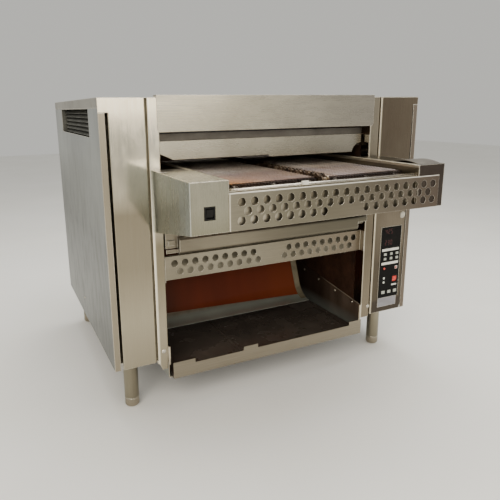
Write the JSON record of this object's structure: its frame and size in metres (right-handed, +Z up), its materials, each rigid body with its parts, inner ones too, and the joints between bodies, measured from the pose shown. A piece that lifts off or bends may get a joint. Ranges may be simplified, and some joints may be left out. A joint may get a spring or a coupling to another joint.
{
  "type": "conveyor broiler",
  "caption": "Stainless gas conveyor broiler on legs: mesh belts carry food in at the front through the cabinet, and a chute returns it to an open slide-out pan below.",
  "frame": {"origin": "on the floor under the middle of the bounding box", "axes": "+X to the right seen from the front, +Y from the front to the rear, +Z up"},
  "size_m": [1.01, 1.028, 0.8645],
  "materials": {
    "frame_steel": "mill scale, dull",
    "leg_tube": "satin",
    "foot": "plated",
    "side_stainless": "brushed, cool grey",
    "front_stainless": "brushed, warm grey",
    "right_stainless": "brushed, warm grey",
    "guard_stainless": "brushed",
    "inner_steel": "heat-browned",
    "louvre": "dull",
    "burner": "scaled",
    "gas_pipe": "black pipe",
    "valve": "raw",
    "chute": "heat-browned",
    "release": "non-stick sheet",
    "clamp": "brushed",
    "pan": "brushed lip",
    "drive_grey": "matt",
    "shaft": "turned",
    "belt": "heat-tinted mesh",
    "chain": "heat-browned chain",
    "overlay": "matt film",
    "display": "smoked",
    "lamp": "clear red",
    "black_plastic": "moulded",
    "red_plastic": "moulded",
    "key": "moulded",
    "latch": "plated"
  },
  "bodies": {
    "cabinet": {"base_frame": "frame_steel", "corner_posts": "frame_steel", "legs": "leg_tube", "feet": "foot", "left_side_panel": "side_stainless", "right_side_panel": "side_stainless", "rear_panel": "side_stainless", "top_cover": "front_stainless", "left_front_cover": "front_stainless", "right_front_cover": "right_stainless", "left_channel": "front_stainless", "right_channel": "front_stainless", "hood_panel": "front_stainless", "entry_baffle": "front_stainless", "side_vent_louvres": "louvre", "left_inner_wall": "inner_steel", "right_inner_wall": "inner_steel", "inner_rear_wall": "inner_steel", "radiant_burners": "burner", "lower_burners": "burner", "gas_manifold": "gas_pipe", "gas_valve": "valve", "discharge_chute": "chute", "release_sheet": "release", "sheet_clamp": "clamp", "cavity_skirts": "inner_steel", "lower_guard": "guard_stainless", "guard_liner": "guard_stainless", "tray_runners": "inner_steel", "conveyor_left_box": "front_stainless", "conveyor_right_box": "right_stainless", "conveyor_rails": "guard_stainless", "upper_guard": "guard_stainless", "drive_cover": "drive_grey", "drive_motor": "drive_grey", "shaft_bearings": "frame_steel", "belt_support": "inner_steel", "left_belt": "belt", "right_belt": "belt", "centre_chain": "chain", "control_overlay": "overlay", "display_board": "display", "indicator_lamps": "lamp", "rocker_housings": "black_plastic"},
    "drive_shaft": {"drive_shaft": "shaft"},
    "idler_shaft": {"idler_shaft": "shaft"},
    "grease_tray": {"grease_tray": "front_stainless"},
    "discharge_pan": {"discharge_pan": "pan"},
    "power_rocker": {"power_rocker": "red_plastic"},
    "conveyor_rocker": {"conveyor_rocker": "black_plastic"},
    "panel_latch": {"panel_latch": "latch"},
    "key_a1": {"key_a1": "key"},
    "key_a2": {"key_a2": "key"},
    "key_a3": {"key_a3": "key"},
    "key_b1": {"key_b1": "key"},
    "key_b2": {"key_b2": "key"},
    "key_b3": {"key_b3": "key"},
    "key_c1": {"key_c1": "key"},
    "key_c2": {"key_c2": "key"},
    "key_c3": {"key_c3": "key"}
  },
  "joints": [
    {"name": "drive_turn", "type": "hinge", "parent": "cabinet", "child": "drive_shaft", "pos_m": [0, -0.451, 0.6252], "axis": [1, 0, 0], "continuous": true},
    {"name": "idler_turn", "type": "hinge", "parent": "cabinet", "child": "idler_shaft", "pos_m": [0, 0.10145, 0.6252], "axis": [1, 0, 0], "continuous": true},
    {"name": "grease_tray_slide", "type": "slide", "parent": "cabinet", "child": "grease_tray", "axis": [0, -1, 0], "range_m": [0, 0.3]},
    {"name": "discharge_pan_slide", "type": "slide", "parent": "cabinet", "child": "discharge_pan", "axis": [0, -1, 0], "range_m": [0, 0.34]},
    {"name": "power_rocker_tilt", "type": "hinge", "parent": "cabinet", "child": "power_rocker", "pos_m": [0.454, -0.2482, 0.2615], "axis": [-1, 0, 0], "range_deg": [0, 18]},
    {"name": "conveyor_rocker_tilt", "type": "hinge", "parent": "cabinet", "child": "conveyor_rocker", "pos_m": [-0.335, -0.5085, 0.612], "axis": [-1, 0, 0], "range_deg": [0, 18]},
    {"name": "panel_latch_turn", "type": "hinge", "parent": "cabinet", "child": "panel_latch", "pos_m": [0.4725, -0.251, 0.4805], "axis": [0, 1, 0], "range_deg": [0, 90]},
    {"name": "key_a1_press", "type": "slide", "parent": "cabinet", "child": "key_a1", "axis": [0, 1, 0], "range_m": [0, 0.0012], "stiffness_N_per_m": 800, "springref_m": -0.0008},
    {"name": "key_a2_press", "type": "slide", "parent": "cabinet", "child": "key_a2", "axis": [0, 1, 0], "range_m": [0, 0.0012], "stiffness_N_per_m": 800, "springref_m": -0.0008},
    {"name": "key_a3_press", "type": "slide", "parent": "cabinet", "child": "key_a3", "axis": [0, 1, 0], "range_m": [0, 0.0012], "stiffness_N_per_m": 800, "springref_m": -0.0008},
    {"name": "key_b1_press", "type": "slide", "parent": "cabinet", "child": "key_b1", "axis": [0, 1, 0], "range_m": [0, 0.0012], "stiffness_N_per_m": 800, "springref_m": -0.0008},
    {"name": "key_b2_press", "type": "slide", "parent": "cabinet", "child": "key_b2", "axis": [0, 1, 0], "range_m": [0, 0.0012], "stiffness_N_per_m": 800, "springref_m": -0.0008},
    {"name": "key_b3_press", "type": "slide", "parent": "cabinet", "child": "key_b3", "axis": [0, 1, 0], "range_m": [0, 0.0012], "stiffness_N_per_m": 800, "springref_m": -0.0008},
    {"name": "key_c1_press", "type": "slide", "parent": "cabinet", "child": "key_c1", "axis": [0, 1, 0], "range_m": [0, 0.0012], "stiffness_N_per_m": 800, "springref_m": -0.0008},
    {"name": "key_c2_press", "type": "slide", "parent": "cabinet", "child": "key_c2", "axis": [0, 1, 0], "range_m": [0, 0.0012], "stiffness_N_per_m": 800, "springref_m": -0.0008},
    {"name": "key_c3_press", "type": "slide", "parent": "cabinet", "child": "key_c3", "axis": [0, 1, 0], "range_m": [0, 0.0012], "stiffness_N_per_m": 800, "springref_m": -0.0008}
  ],
  "couplings": [
    {"joint": "idler_turn", "follows": "drive_turn", "ratio": 1}
  ]
}
